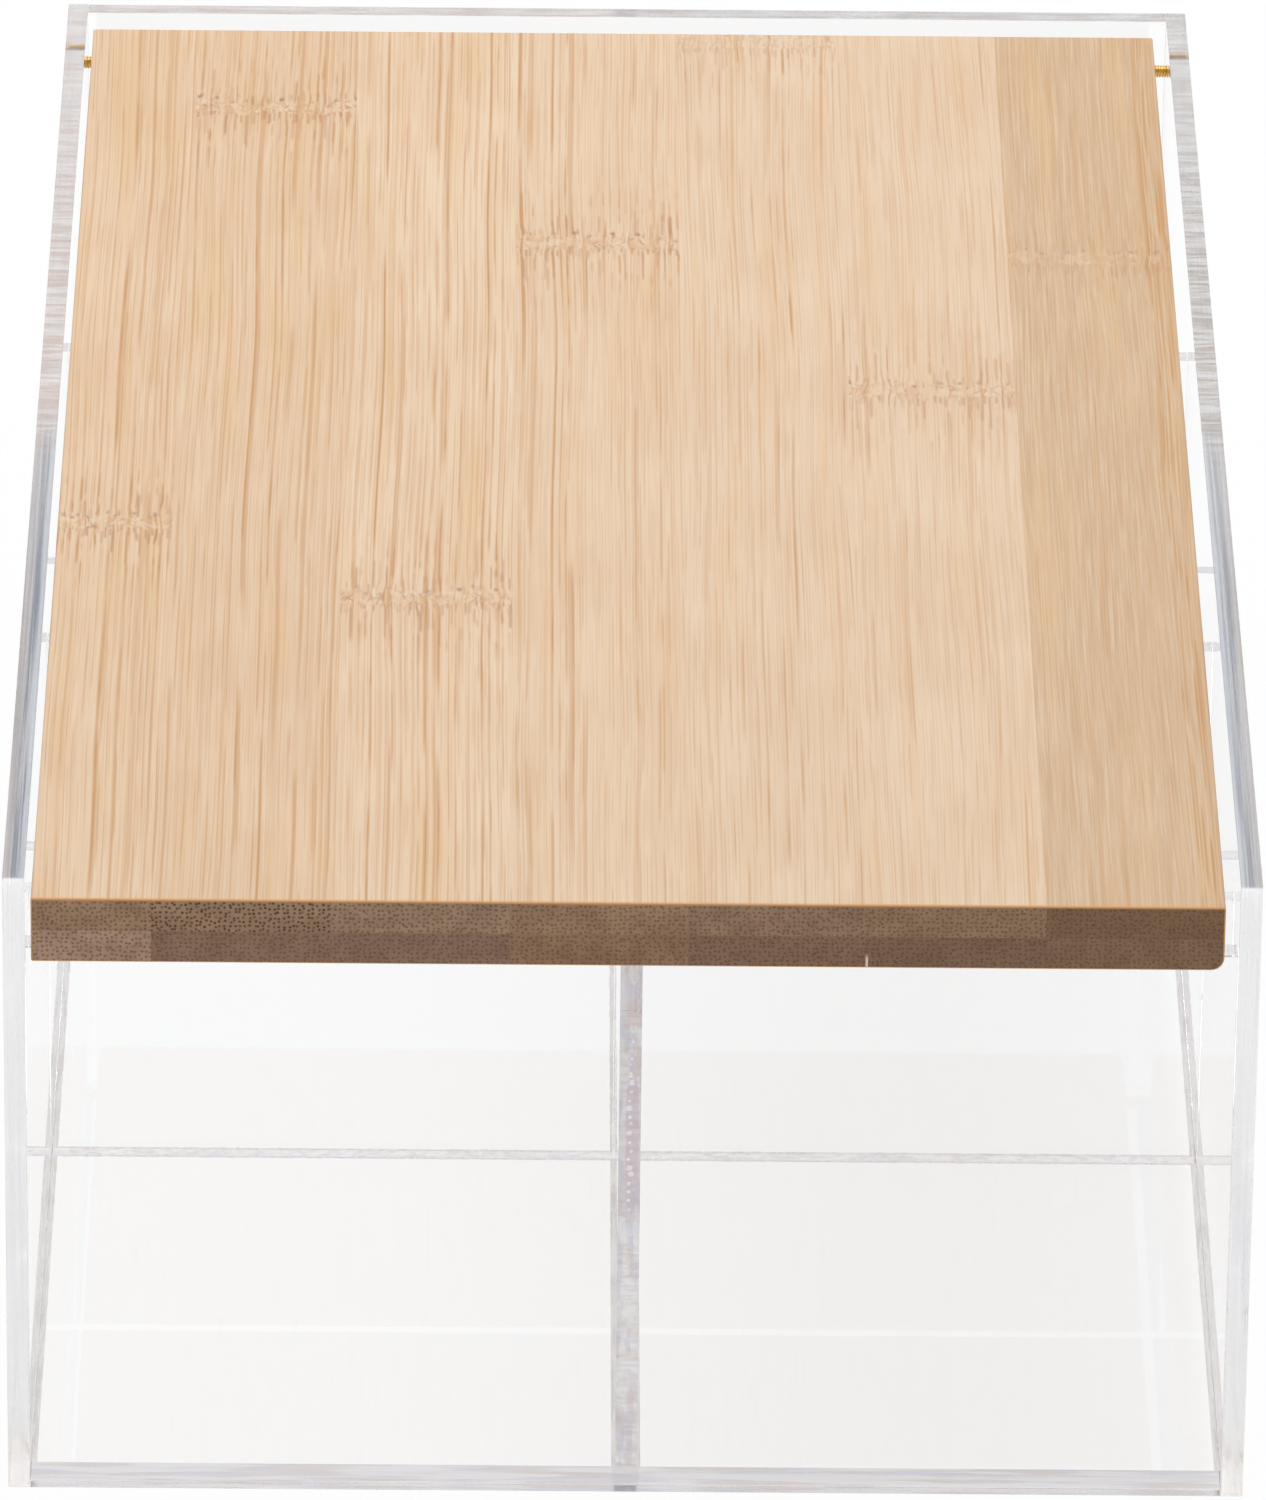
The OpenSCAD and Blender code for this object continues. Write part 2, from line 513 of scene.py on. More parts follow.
@dataclass(frozen=True)
class CementLine(Finish):
    """Faces glued with solvent: light goes straight through, a little dimmed where the solvent ran.

    The runs lie along the base's joints and hang down in the upright ones. In the long divider's front
    joint a column of small bubbles rises through a tear-shaped run, with a pale brown patch above it.
    """

    name: str = "cement_line"
    clear_tone: tuple = (255, 255, 255)
    warm_tone: tuple = (248, 244, 242)
    cool_tone: tuple = (245, 246, 251)
    milk_tone: tuple = (244, 243, 244)
    foot_tone: tuple = (200, 196, 200)
    band_tone: tuple = (196, 189, 192)
    tear_tone: tuple = (239, 233, 236)
    patch_tone: tuple = (240, 233, 232)
    milk: float = 0.03
    foot_share: float = 0.28
    band_shares: tuple = (0.1, 0.21)
    band_half: tuple = (1.6, 2.0)
    foot_z: float = 3 * MM
    front_y: float = -136 * MM
    tear_x: float = 0.35 * MM
    tear_low: float = 41 * MM
    tear_high: float = 70.5 * MM
    tear_half: float = 0.9 * MM
    bubble_pitch: float = 1.3 * MM
    patch_low: float = 71.6 * MM
    patch_high: float = 77.5 * MM

    def bubbles(self, tree: Tree, x: Signal, z: Signal) -> Signal:
        """A column of round bubbles, one in each step of height.

        A bubble's centre moves up and sideways in its step by random shares, and the bubble is one
        inside its random radius and zero outside.

        Args:
            tree: The material's tree.
            x: Distance from the column in millimetres.
            z: Height in millimetres.

        Returns:
            One in a bubble, else zero.
        """
        pitch = self.bubble_pitch / MM
        scaled = z / pitch
        number = tree.math("FLOOR", scaled)
        rise = (scaled - number - tree.white(number).fit(0.4, 0.3)) * pitch
        side = x + tree.white(number + 31.5).fit(0.4, -0.2)
        away = tree.math("SQRT", rise * rise + side * side)
        return (away - tree.white(number + 77.5).fit(0.22, 0.22)).ramp(-0.08, 0.08, 1.0, 0.0)

    def marks(self, tree: Tree, x: Signal, y: Signal, z: Signal) -> tuple[Signal, ...]:
        """Where the front joint is marked, and nowhere else.

        The tear is one where the distance from its line is less than its half width, which narrows
        towards its high end and rounds off at its low end.

        Args:
            tree: The material's tree.
            x: Place across in millimetres.
            y: Place along in millimetres.
            z: Height in millimetres.

        Returns:
            The shares of the grey band, the tear, its bubbles and the patch above it.
        """
        front_y, low, high = self.front_y / MM, self.tear_low / MM, self.tear_high / MM
        patch_low, patch_high = self.patch_low / MM, self.patch_high / MM
        front = y.ramp(front_y, front_y + 0.5, 1.0, 0.0)
        aside = x - self.tear_x / MM
        half = z.ramp(high - 12, high, self.tear_half / MM, 0.12) * z.ramp(low, low + 5, -0.1, 1.0)
        tear = (abs(aside) - half).ramp(-0.12, 0.1, 1.0, 0.0) * z.ramp(low, low + 0.5) * front
        bubbles = tear * self.bubbles(tree, aside + 0.3, z) * 0.8
        patch = z.ramp(patch_low, patch_low + 0.3) * z.ramp(patch_high - 3.5, patch_high, 1.0, 0.0)
        patch = patch * aside.ramp(-1.1, -0.8) * front
        band = front * abs(x).ramp(*self.band_half, 1.0, 0.0)
        return band * z.ramp(low + 0.5, low + 1.5, *self.band_shares), tear, bubbles, patch

    def shader(self, tree: Tree) -> Signal:
        """A see-through shader, tinted by the runs and marks, with a little milky white.

        Args:
            tree: The material's tree.

        Returns:
            The shader.
        """
        x, y, z = tree.object_mm()
        foot_z = self.foot_z / MM
        foot = z.ramp(foot_z - 0.05, foot_z + 0.05, 1.0, 0.0)
        flat = foot.fit(-0.75, 0.8)
        runs, warmth, fog = tree.noises((x * flat, y * flat, z * foot.fit(1.0, 0.16)), 2.0)
        cloud = tree.layers(self.warm_tone, (warmth.ramp(0.4, 0.6), self.cool_tone))
        band, tear, bubbles, patch = self.marks(tree, x, y, z)
        tone = tree.layers(self.clear_tone, (runs.ramp(0.44, 0.6), cloud),
                           (foot * self.foot_share, self.foot_tone), (band, self.band_tone),
                           (tear, self.tear_tone), (bubbles, self.clear_tone), (patch, self.patch_tone))
        through = tree.add("ShaderNodeBsdfTransparent", {"Color": tone})
        milk = tree.add("ShaderNodeBsdfDiffuse", {"Color": self.milk_tone})
        return tree.mix(fog.ramp(0.5, 0.7, self.milk, 3 * self.milk), through, milk)


class Draw(Enum):
    """What a lane draws a random number for: a factor of the layer's seed and a shift."""

    CENTRE = (1.7, 0.5)
    WIDTH = (3.1, 41.5)
    WEIGHT = (5.3, 9.5)
    START = (2.3, 17.5)
    LENGTH = (4.1, 71.5)


@dataclass(frozen=True)
class StreakRow:
    """A layer of long thin streaks, one in each lane. Sizes are millimetres.

    Spacing is the width of a lane, length and width are a streak's rough size, and seed sets the layer
    apart from the others.
    """

    spacing: float
    length: float
    width: float
    seed: float


@dataclass(frozen=True)
class MarkRow:
    """A row of short marks across a strip, one in each lane. Sizes are millimetres.

    They start between start and start plus spread from the joint, and their length runs from least to
    least plus reach. Seed sets the row apart from the others.
    """

    spacing: float
    width: float
    start: float
    spread: float
    least: float
    reach: float
    soft: float
    seed: float


COARSE = StreakRow(2.5, 44.0, 0.55, 0.0)
MEDIUM = StreakRow(0.95, 30.0, 0.36, 11.0)
FINE = StreakRow(0.46, 22.0, 0.26, 23.0)
NEAR_JOINT = StreakRow(0.95, 7.5, 0.46, 31.0)
DOTS = MarkRow(3.3, 0.75, 1.2, 1.4, 0.9, 0.5, 0.35, 9.0)
SHORT_FRONT = MarkRow(0.82, 0.46, 1.5, 1.1, 1.2, 2.6, 0.35, 4.0)
LONG_FRONT = MarkRow(1.6, 0.42, 1.7, 2.2, 2.0, 9.0, 0.8, 5.0)
LONG_BACK = MarkRow(1.35, 0.42, 0.9, 2.0, 1.5, 8.0, 0.8, 6.0)


@dataclass(frozen=True)
class Bamboo(Finish):
    """One strip of bamboo, seen along its fibres: tone, streaks and the row where a joint grew."""

    seed: float
    tone: tuple
    streaks: float
    joint_y: float | None
    joint_strength: float
    front_y: float
    seam_x: float | None
    pale_tone: tuple = (240, 217, 188)
    band_tone: tuple = (231, 194, 148)
    streak_tone: tuple = (204, 153, 101)
    sliver_tone: tuple = (212, 170, 124)
    front_edge_glint_tone: tuple = (222, 160, 92)
    # The joint's marks in the order that they are laid on, each with its weight and tone.
    mark_coats: tuple = ((0.5, (216, 168, 118)), (0.4, (238, 216, 190)), (0.85, (190, 138, 102)),
                         (0.8, (182, 132, 100)), (0.9, (150, 118, 100)))
    hook_pitch: float = 1.15
    hook_w: float = 0.55
    roughness: float = 0.42
    grain_depth: float = 0.00003

    def draw(self, tree: Tree, number: Signal, seed: float, what: Draw) -> Signal:
        """A random number from 0 to 1 for each lane's number."""
        factor, shift = what.value
        return tree.white(number + (seed * factor + shift))

    def lane(self, tree: Tree, x: Signal, spacing: float, width: float,
             seed: float) -> tuple[Signal, Signal]:
        """Thin ridges along Y, one in each lane across the strip.

        A lane is the whole part of x over the spacing. Inside it the ridge is one at a random centre
        and falls in a straight line to zero at a random half width.

        Args:
            tree: The material's tree.
            x: Place across the strip in millimetres.
            spacing: Width of a lane in millimetres.
            width: Rough width of a ridge in millimetres.
            seed: Number that sets this layer apart.

        Returns:
            The lane's number and the ridge, 0 to 1, times a random weight of the lane.
        """
        scaled = x / spacing + seed
        number = tree.math("FLOOR", scaled)
        centre = self.draw(tree, number, seed, Draw.CENTRE).fit(0.5, 0.25)
        away = abs(scaled - number - centre) * spacing
        half = self.draw(tree, number, seed, Draw.WIDTH).fit(width * 0.5, width * 0.35)
        ridge = tree.math("SUBTRACT", 1.0, away / half, clamp=True)
        return number, ridge ** 0.7 * self.draw(tree, number, seed, Draw.WEIGHT).fit(0.7, 0.3)

    def lines(self, tree: Tree, x: Signal, y: Signal, row: StreakRow, fill: float) -> Signal:
        """Separate thin streaks along Y: ridges that noise along y switches on and off.

        Args:
            tree: The material's tree.
            x: Place across the strip in millimetres.
            y: Place along the strip in millimetres.
            row: The layer's sizes.
            fill: Share of the length that is streaked, 0 to 1.

        Returns:
            How strong the streak is at each point, 0 to 1.
        """
        seed = self.seed + row.seed
        number, ridge = self.lane(tree, x, row.spacing, row.width, seed)
        run = tree.noise((number * 7.31, y / row.length, seed * 0.37), 1.0, 0.4)
        level = 0.66 - 0.34 * fill
        return ridge * run.ramp(level - 0.04, level + 0.1)

    def dashes(self, tree: Tree, x: Signal, away: Signal, row: MarkRow) -> Signal:
        """Short marks beside the joint, each with its own start and length.

        Args:
            tree: The material's tree.
            x: Place across the strip in millimetres.
            away: Distance from the joint on the marks' side in millimetres.
            row: The row's sizes.

        Returns:
            How strong the mark is at each point, 0 to 1.
        """
        seed = self.seed + row.seed
        number, ridge = self.lane(tree, x, row.spacing, row.width, seed)
        begin = away - self.draw(tree, number, seed, Draw.START).fit(row.spread, row.start)
        finish = begin - (self.draw(tree, number, seed, Draw.LENGTH) ** 2.0).fit(row.reach, row.least)
        shown = begin.ramp(-0.3 * row.soft, 0.7 * row.soft) * finish.ramp(-row.soft, row.soft, 1.0, 0.0)
        return ridge * shown

    def joint(self, tree: Tree, x: Signal, y: Signal) -> tuple[Signal, ...]:
        """The row of marks across the strip where a joint of the cane was planed off.

        Args:
            tree: The material's tree.
            x: Place across the strip in millimetres.
            y: Place along the strip in millimetres.

        Returns:
            The amber stains, the pale flecks, the warm short fibres, the curved marks and the dark
            dots, each 0 to 1.
        """
        sway = (tree.noise((x * 0.2, self.seed), 3.0, 0.6) - 0.5) * 6.0
        off = y - self.joint_y / MM - sway
        band = 1.0 - abs(off + 0.2).ramp(1.4, 2.8)
        curl, breaks, soak = tree.noises((x * 0.6, off * 0.4, self.seed * 1.9), 1.0)
        curl = curl - 0.5
        _, hooks = self.lane(tree, curl.fit(4.4, x), self.hook_pitch, self.hook_w, self.seed + 2.0)
        hooks = hooks * breaks.ramp(0.44, 0.56) * band
        ahead = off * -1.0
        warm = self.dashes(tree, x, ahead, SHORT_FRONT).most(self.dashes(tree, x, ahead, LONG_FRONT))
        warm = warm.most(self.dashes(tree, x, off, LONG_BACK))
        return (soak.ramp(0.46, 0.62) * band, curl.ramp(0.0, 0.12) * band, warm, hooks,
                self.dashes(tree, x, off, DOTS))

    def shader(self, tree: Tree) -> Signal:
        """The wood, from the strip's own coordinates; its fibres wander and bend beside the joint.

        Args:
            tree: The material's tree.

        Returns:
            The shader.
        """
        x, y, _ = tree.object_mm()
        drift = tree.noise((x * 0.04, y * 0.009, self.seed), 1.0)
        wave = tree.noise((x * 0.25, y * 0.035, self.seed + 3.0), 1.0)
        fibre = x + drift.fit(2.4, -1.2) + wave.fit(0.14, -0.07)
        jointed, fill = self.joint_y is not None, self.streaks
        if jointed:
            from_joint = abs(y - self.joint_y / MM)
            bend = tree.noise((x * 0.55, y * 0.1, self.seed + 8.0), 1.0)
            fibre = fibre + bend.fit(1.8, -0.9) * from_joint.ramp(1.0, 8.0, 1.0, 0.0)
        medium = self.lines(tree, fibre, y, MEDIUM, fill)
        total = (self.lines(tree, fibre, y, COARSE, fill) * (0.44 + 0.52 * fill)
                 + medium * (0.22 + 0.46 * fill)
                 + self.lines(tree, fibre, y, FINE, 0.7) * (0.26 + 0.3 * fill))
        if jointed:
            short = self.lines(tree, fibre, y, NEAR_JOINT, 0.5) * from_joint.ramp(5.0, 30.0, 1.0, 0.0)
            total = total + short * (0.8 * self.joint_strength)
        haze = tree.noise((fibre * 3.1, y * 0.04, self.seed + 5.0), 3.0, 0.7)
        bands = tree.noise((fibre * 0.3, y * 0.012, self.seed + 7.0))
        cloud = tree.noise((x * 0.06, y * 0.03, self.seed + 6.0))
        coats = [(haze.ramp(0.3, 0.75, 0.0, 0.6), self.pale_tone),
                 (bands.ramp(0.45, 0.75, 0.0, 0.25 + 0.5 * fill), self.band_tone),
                 (cloud.ramp(0.3, 0.7, 0.0, 0.16), self.streak_tone)]
        if self.seam_x is not None:
            seam = self.seam_x / MM
            coats.append((x.ramp(seam - 0.1, seam + 0.1) * 0.3, self.sliver_tone))
            total = total * x.ramp(seam - 4.0, seam - 1.0, 1.0, 2.4)
        coats.append((tree.math("MULTIPLY", total, 1.0, clamp=True), self.streak_tone))
        if jointed:
            coats += [(share * (weight * self.joint_strength), tone)
                      for share, (weight, tone) in zip(self.joint(tree, x, y), self.mark_coats)]
        # Painted highlight: a warm glint along the strip's front edge, fading out 0.75 mm from the
        # front.
        front = self.front_y / MM
        coats.append((y.ramp(front + 0.15, front + 0.75, 0.9, 0.0), self.front_edge_glint_tone))
        return tree.add("ShaderNodeBsdfPrincipled", {
            "Base Color": tree.layers(self.tone, *coats),
            "Roughness": total.ramp(0.0, 1.0, self.roughness, self.roughness + 0.16),
            "Specular IOR Level": 0.35,
            "Normal": tree.bump(haze.fit(0.6, medium * -0.8), self.grain_depth, 0.6)})


@dataclass(frozen=True)
class EndGrain(Finish):
    """The sawn end of a strip of bamboo: dark fibre bundles on a brown ground.

    Where a seam is open, a thin pale line of bare glue runs up it from the strip's lower edge. Its
    share is one within half its width of the seam and below its top, and zero elsewhere.
    """

    seed: float
    tone: tuple
    dots: float
    open_x: float | None
    dot_tone: tuple = (98, 68, 47)
    fleck_tone: tuple = (186, 156, 128)
    glue_tone: tuple = (255, 226, 206)
    glue_half: float = 0.17
    glue_fade: tuple = (86.2, 87.3, 1.0, 0.0)
    dot_pitch: float = 0.66
    pore_depth: float = 0.00008

    def shader(self, tree: Tree) -> Signal:
        """The wood, from the strip's own coordinates on the plane of the sawn end.

        Args:
            tree: The material's tree.

        Returns:
            The shader.
        """
        x, _, z = tree.object_mm()
        place = tree.join(x + self.seed * 13.0, z)
        cells = tree.add("ShaderNodeTexVoronoi", {"Vector": place, "Scale": 1 / self.dot_pitch,
                                                  "Randomness": 0.62}, "Distance",
                         voronoi_dimensions="2D", feature="F1")
        dot = cells.ramp(0.16, 0.42, 1.0, 0.0)
        dot = dot * tree.noise(place, scale=1.3).ramp(0.3, 0.6, 0.45, 1.0)
        ground = tree.noise(place, 3.0, 0.6, 0.25)
        fine = tree.noise(place, 2.0, 0.6, 5.0)
        coats = [(ground.ramp(0.3, 0.7, 0.0, 0.35), self.dot_tone),
                 (fine.ramp(0.3, 0.75, 0.0, 0.3), self.fleck_tone), (dot * self.dots, self.dot_tone)]
        if self.open_x is not None:
            beside = tree.math("LESS_THAN", abs(x - self.open_x / MM), self.glue_half)
            coats.append((beside * z.ramp(*self.glue_fade), self.glue_tone))
        return tree.add("ShaderNodeBsdfPrincipled", {
            "Base Color": tree.layers(self.tone, *coats), "Roughness": dot.ramp(0.0, 1.0, 0.55, 0.75),
            "Specular IOR Level": 0.25, "Normal": tree.bump(fine - dot, self.pore_depth, 0.5)})


@dataclass(frozen=True)
class TurnedBrass(Finish):
    """Bright turned brass with fine tool lines."""

    name: str = "turned_brass"
    tone: tuple = (0.86, 0.62, 0.24, 1.0)
    stain_tone: tuple = (0.62, 0.40, 0.13, 1.0)

    def shader(self, tree: Tree) -> Signal:
        """The metal, from the screw's own coordinates.

        Args:
            tree: The material's tree.

        Returns:
            The shader.
        """
        x, y, z = tree.object_mm()
        lines = tree.noise((x * 14.0, y, z))
        stain = tree.noise((x, y, z), scale=0.8)
        return tree.add("ShaderNodeBsdfPrincipled", {
            "Metallic": 1.0, "Roughness": lines.ramp(0.3, 0.7, 0.18, 0.34),
            "Base Color": tree.layers(self.tone, (stain.ramp(0.45, 0.8, 0.0, 0.5), self.stain_tone)),
            "Normal": tree.bump(lines, 0.00001, 0.4)})


# ---------------------------------------------------------------- meshes


def rectangle(low: tuple, high: tuple, radii: tuple = (0, 0, 0, 0), steps: int = 6) -> np.ndarray:
    """A rectangle whose corners are quarter circles, as points in order round it.

    Args:
        low: Lowest corner.
        high: Highest corner.
        radii: Corner radii, from the low-low corner on by high-low, high-high and low-high.
        steps: Pieces that each quarter circle is made of.

    Returns:
        Points of shape (n, 2). A corner of radius 0 is one point.
    """
    corners = ((low[0], low[1]), (high[0], low[1]), (high[0], high[1]), (low[0], high[1]))
    inward = ((1, 1), (-1, 1), (-1, -1), (1, -1))
    parts = []
    for index, (corner, way, radius) in enumerate(zip(corners, inward, radii)):
        if radius <= 0:
            parts.append(np.array([corner], float))
            continue
        turn = math.pi + index * math.pi / 2 + np.linspace(0, math.pi / 2, steps + 1)
        centre = np.array(corner, float) + np.array(way) * radius
        parts.append(centre + radius * np.stack([np.cos(turn), np.sin(turn)], axis=1))
    return np.concatenate(parts)


def perimeter(across: np.ndarray, along: np.ndarray) -> np.ndarray:
    """The points round a rectangular grid's edge, anticlockwise from its low corner.

    Args:
        across: The grid's first coordinates, rising.
        along: The grid's second coordinates, rising.

    Returns:
        Points of shape (n, 2): along the bottom, up the right, back along the top and down the left.
    """
    low_u, low_v = np.full(len(across) - 1, along[0]), np.full(len(along) - 1, across[0])
    high_u, high_v = np.full(len(across) - 1, along[-1]), np.full(len(along) - 1, across[-1])
    return np.concatenate([np.stack([across[:-1], low_u], 1), np.stack([high_v, along[:-1]], 1),
                           np.stack([across[:0:-1], high_u], 1), np.stack([low_v, along[:0:-1]], 1)])


def inset(outline: np.ndarray, depth: np.ndarray) -> np.ndarray:
    """Move an outline's edges inwards, each by its own depth.

    Each point moves by its two edges' inward normals, each times its depth, over one plus the normals'
    dot product. That is exact where both depths are equal or the edges meet at a right angle.

    Args:
        outline: Points of shape (n, 2), anticlockwise.
        depth: How far the edge after each point moves in.

    Returns:
        The moved points.
    """
    ahead = np.roll(outline, -1, axis=0) - outline
    ahead /= np.linalg.norm(ahead, axis=1, keepdims=True)
    normal = np.stack([-ahead[:, 1], ahead[:, 0]], axis=1)
    before = np.roll(normal, 1, axis=0)
    pull = normal * depth[:, None] + before * np.roll(depth, 1)[:, None]
    return outline + pull / (1 + np.sum(normal * before, axis=1, keepdims=True))


def ring_quads(rows: int, columns: int) -> np.ndarray:
    """Quads between rings of points, each ring closed on itself.

    Args:
        rows: How many rings there are.
        columns: How many points a ring has.

    Returns:
        Point numbers of shape (n, 4), ring by ring.
    """
    row, column = np.meshgrid(np.arange(rows - 1), np.arange(columns), indexing="ij")
    first, ahead = row * columns + column, row * columns + (column + 1) % columns
    return np.stack([first, ahead, ahead + columns, first + columns], axis=-1).reshape(-1, 4)


class Skin(Enum):
    """The material slots of a sheet."""

    CUT = 0
    FACE = 1
    GLUED = 2
    # Painted shade beside the joints on the base.
    RUN = 3
    DRILLED = 4
    TABLE = 5


@dataclass
class Sheet:
    """A flat piece: an outline with a thickness, eased along its free edges, with round holes.

    Its rings are the outline moved in by ease * (1 - sin t) at ease * (1 - cos t) from each face, for
    t over a quarter turn; a sharp edge is left as it is. The faces are filled, and the UV map "cut"
    runs along the outline and across the thickness on the edges.
    """

    name: str
    plane: Plane
    outline: np.ndarray
    low: float
    high: float
    ease: float
    sharp: np.ndarray
    glued: np.ndarray | None = None
    holes: list = field(default_factory=list)
    steps: int = 3

    def profile(self) -> tuple[np.ndarray, np.ndarray]:
        """The depth inwards and the height of each ring, from the low face to the high one."""
        turn = np.linspace(0, math.pi / 2, self.steps + 1)
        depth = self.ease * (1 - np.sin(turn))
        rise = self.ease * (1 - np.cos(turn))
        return (np.concatenate([depth, depth[::-1]]),
                np.concatenate([self.low + rise, self.high - rise[::-1]]))

    def place(self, flat: np.ndarray, height: float) -> np.ndarray:
        """Turn outline points at a height into points in space."""
        points = np.zeros((len(flat), 3))
        first, second, third = self.plane.value
        points[:, first], points[:, second], points[:, third] = flat[:, 0], flat[:, 1], height
        return points

    def flat(self, points: np.ndarray) -> np.ndarray:
        """Points in space as flat points in the outline's plane, with a third value of 0."""
        first, second, _ = self.plane.value
        return np.stack([points[:, first], points[:, second], np.zeros(len(points))], axis=1)

    def hole_ring(self, centre: tuple, radius: float, depth: float) -> np.ndarray:
        """A hole's outline, clockwise, widened by a depth."""
        turn = np.linspace(0, -2 * math.pi, HOLE_POINTS, endpoint=False)
        return np.array(centre) + (radius + depth) * np.stack([np.cos(turn), np.sin(turn)], axis=1)

    def loops(self, depth: float) -> list:
        """The outline and the holes' outlines, moved into the piece by a depth."""
        holes = [self.hole_ring(centre, radius, depth) for centre, radius in self.holes]
        return [inset(self.outline, (1.0 - self.sharp) * depth)] + holes

    def fill(self, mesh: "Faces", height: float, end: int) -> None:
        """Fill one face of the piece, holes left open.

        Args:
            mesh: Where the faces go.
            height: Height of the face.
            end: Not used here; 0 for the low face and 1 for the high one.
        """
        rims = [self.place(loop, height) for loop in self.loops(self.ease)]
        points = np.concatenate(rims)
        flat = self.flat(points)
        lines = [[Vector(p) for p in self.flat(rim)] for rim in rims]
        triangles = np.array(tessellate_polygon(lines))
        mesh.add(points, triangles, flat[triangles][:, :, :2], np.full(len(triangles), Skin.FACE.value))

    def build(self, finishes: list) -> bpy.types.Object:
        """Make the piece.

        Args:
            finishes: The materials of its skins, in the order of Skin.

        Returns:
            The new object.
        """
        mesh = Faces()
        depths, heights = self.profile()
        rings = [self.loops(depth) for depth in depths]
        across = np.concatenate([[0.0], np.cumsum(np.hypot(np.diff(depths), np.diff(heights)))])
        for number in range(1 + len(self.holes)):
            stack = [self.place(ring[number], height) for ring, height in zip(rings, heights)]
            count = len(stack[0])
            base = stack[len(stack) // 2]
            step = np.linalg.norm(np.roll(base, -1, axis=0) - base, axis=1)
            length = np.concatenate([[0.0], np.cumsum(step)])
            quads = ring_quads(len(stack), count)
            ring, spot = np.meshgrid(np.arange(len(stack) - 1), np.arange(count), indexing="ij")
            steps = ((0, 0), (1, 0), (1, 1), (0, 1))
            corner = np.stack([np.stack([length[spot + u], across[ring + v]], -1) for u, v in steps],
                              axis=2).reshape(-1, 4, 2)
            slots = np.full(len(quads), Skin.DRILLED.value if number else Skin.CUT.value)
            if number == 0 and self.glued is not None:
                slots = np.tile(np.where(self.glued, Skin.GLUED.value, Skin.CUT.value), len(stack) - 1)
            mesh.add(np.concatenate(stack), quads, corner, slots)
        self.fill(mesh, self.low, 0)
        self.fill(mesh, self.high, 1)
        return mesh.finish(self.name, finishes)


@dataclass
class Pane(Sheet):
    """A rectangular sheet whose faces are cut into cells, so that joints have their own finish.

    The cells' borders are the borders of the zones, and the outline has a point at each of them.
    """

    zones_low: list = field(default_factory=list)
    zones_high: list = field(default_factory=list)
    across: np.ndarray | None = None
    along: np.ndarray | None = None
    edges: tuple = ()

    @staticmethod
    def cuts(low: float, high: float, zones: list, axis: int, margin: float) -> np.ndarray:
        """The borders of all zones along one axis, with both ends.

        Args:
            low: Low end.
            high: High end.
            zones: Zones as (low first, low second, high first, high second, skin).
            axis: 0 for the first axis, 1 for the second.
            margin: Borders nearer than this to an end are left out.

        Returns:
            The rising coordinates.
        """
        inner = {round(zone[k], DECIMALS) for zone in zones for k in (axis, axis + 2)
                 if low + margin < zone[k] < high - margin}
        return np.array([low] + sorted(inner) + [high])

    @classmethod
    def make(cls, name: str, plane: Plane, low: tuple, high: tuple, heights: tuple, ease: float,
             glued: tuple, zones: tuple, holes: tuple = ()) -> "Pane":
        """Lay out a pane.

        Args:
            name: Its name.
            plane: Where it lies.
            low: Its low corner in the plane.
            high: Its high corner in the plane.
            heights: Where its low and high faces lie.
            ease: Radius of its free edges.
            glued: True for the bottom, right, top and left edge that is glued.
            zones: The glued zones of its low face and of its high face.
            holes: A centre and a radius for each hole.

        Returns:
            The pane, ready to build.
        """
        every = list(zones[0]) + list(zones[1])
        across = cls.cuts(low[0], high[0], every, 0, 2 * ease)
        along = cls.cuts(low[1], high[1], every, 1, 2 * ease)
        counts = [len(across) - 1, len(along) - 1] * 2
        flags = np.repeat(np.array(glued, bool), counts)
        return cls(name, plane, perimeter(across, along), *heights, ease, flags.astype(float), flags,
                   list(holes), zones_low=list(zones[0]), zones_high=list(zones[1]), across=across,
                   along=along, edges=glued)

    def fill(self, mesh: "Faces", height: float, end: int) -> None:
        """Fill one face with cells, each glued or free.

        Args:
            mesh: Where the faces go.
            height: Height of the face.
            end: 0 for the low face and 1 for the high one.
        """
        bottom, right, top, left = (0.0 if glued else self.ease for glued in self.edges)
        across, along = self.across.copy(), self.along.copy()
        across[[0, -1]] += (left, -right)
        along[[0, -1]] += (bottom, -top)
        grid_u, grid_v = np.meshgrid(across, along, indexing="ij")
        flat = np.stack([grid_u.ravel(), grid_v.ravel()], axis=1)
        column, row = np.meshgrid(np.arange(len(across) - 1), np.arange(len(along) - 1), indexing="ij")
        first = (column * len(along) + row).ravel()
        cells = np.stack([first, first + len(along), first + len(along) + 1, first + 1], axis=1)
        middle = flat[cells].mean(axis=1)
        slots = np.full(len(cells), Skin.FACE.value)
        for zone in (self.zones_high if end else self.zones_low):
            inside = np.all((middle > zone[:2]) & (middle < zone[2:4]), axis=1)
            slots[inside] = zone[4].value
        space = self.place(flat, height)
        keep = np.ones(len(cells), bool)
        for centre, radius in self.holes:
            spot = np.array(centre)
            holed = np.all((flat[cells].min(axis=1) < spot) & (flat[cells].max(axis=1) > spot), axis=1)
            keep &= ~holed
            points = np.concatenate([flat[cells[holed][0]], self.hole_ring(centre, radius, self.ease)])
            lines = [[Vector((*p, 0.0)) for p in points[:4]], [Vector((*p, 0.0)) for p in points[4:]]]
            triangles = np.array(tessellate_polygon(lines))
            mesh.add(self.place(points, height), triangles, points[triangles],
                     np.full(len(triangles), Skin.FACE.value))
        mesh.add(space, cells[keep], flat[cells[keep]], slots[keep])


